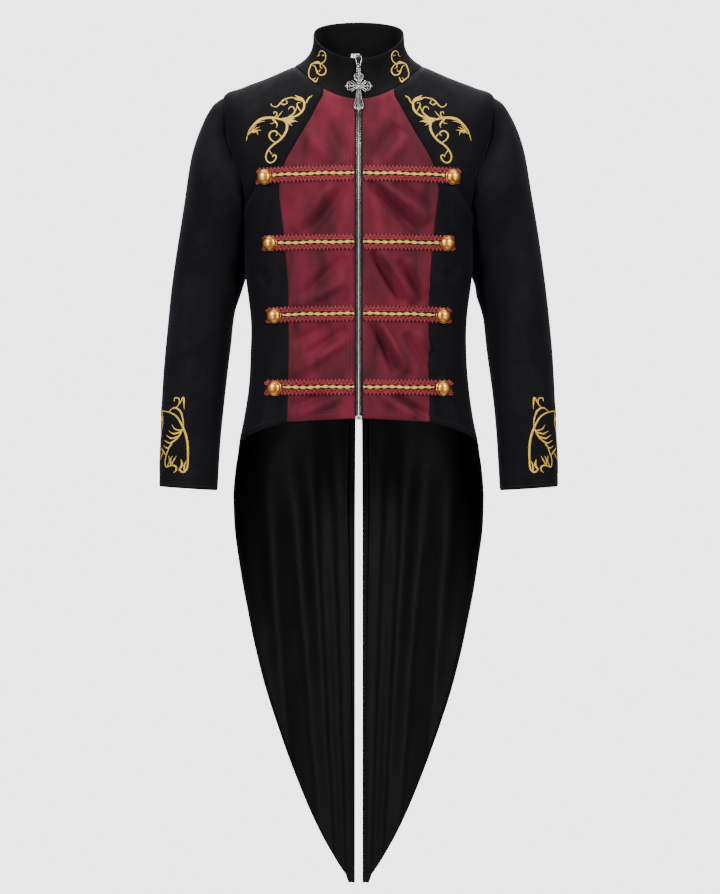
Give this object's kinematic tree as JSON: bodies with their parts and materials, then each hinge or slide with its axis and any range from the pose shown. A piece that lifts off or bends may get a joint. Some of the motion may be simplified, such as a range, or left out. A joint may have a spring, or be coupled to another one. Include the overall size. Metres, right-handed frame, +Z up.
{
  "type": "tailcoat jacket",
  "caption": "Long-sleeved tailcoat jacket with a stand collar, contrast braided front, full-length zip with a hanging cross pull, cutaway hem and two tapering tails.",
  "frame": {"origin": "middle of the neck opening, level with the highest point of the shoulder seams", "axes": "+Z up, -Y to the coat's front, +X to the wearer's left"},
  "size_m": [0.611, 0.2628, 1.3457],
  "materials": {
    "black_velvet": "black cotton velvet with a soft blue-violet sheen",
    "burgundy_velvet": "burgundy velvet with a satin sheen on its folds",
    "black_satin": "black lining satin",
    "red_braid": "looped viscose gimp braid, lustrous",
    "gold_cord": "twisted metallic gold thread",
    "button_brass": "brushed warm gold",
    "silver_metal": "antique silver with dark recesses",
    "zip_tape": "black woven tape",
    "white_label": "plain white woven tape"
  },
  "bodies": {
    "coat": {"plastron_left": "burgundy_velvet", "front_left": "black_velvet", "back_left": "black_velvet", "tail_lining_left": "black_satin", "sleeve_left": "black_velvet", "zip_tape_left": "zip_tape", "plastron_right": "burgundy_velvet", "front_right": "black_velvet", "back_right": "black_velvet", "tail_lining_right": "black_satin", "sleeve_right": "black_velvet", "zip_tape_right": "zip_tape", "collar": "black_velvet", "zip_chain": "silver_metal", "zip_stop": "silver_metal", "zip_slider": "silver_metal", "braid_1_left": "red_braid", "cord_1_left": "gold_cord", "button_1_left": "button_brass", "braid_1_right": "red_braid", "cord_1_right": "gold_cord", "button_1_right": "button_brass", "braid_2_left": "red_braid", "cord_2_left": "gold_cord", "button_2_left": "button_brass", "braid_2_right": "red_braid", "cord_2_right": "gold_cord", "button_2_right": "button_brass", "braid_3_left": "red_braid", "cord_3_left": "gold_cord", "button_3_left": "button_brass", "braid_3_right": "red_braid", "cord_3_right": "gold_cord", "button_3_right": "button_brass", "braid_4_left": "red_braid", "cord_4_left": "gold_cord", "button_4_left": "button_brass", "braid_4_right": "red_braid", "cord_4_right": "gold_cord", "button_4_right": "button_brass", "neck_label": "white_label"},
    "link": {"pull_link": "silver_metal"},
    "cross": {"pull_cross": "silver_metal"}
  },
  "joints": [
    {"name": "link_swing", "type": "hinge", "parent": "coat", "child": "link", "pos_m": [0, -0.0794, 0.0064], "axis": [-1, 0, 0], "range_deg": [0, 150]},
    {"name": "cross_swing", "type": "hinge", "parent": "link", "child": "cross", "pos_m": [0, -0.0805, -0.00786], "axis": [-1, 0, 0], "range_deg": [0, 95]}
  ]
}
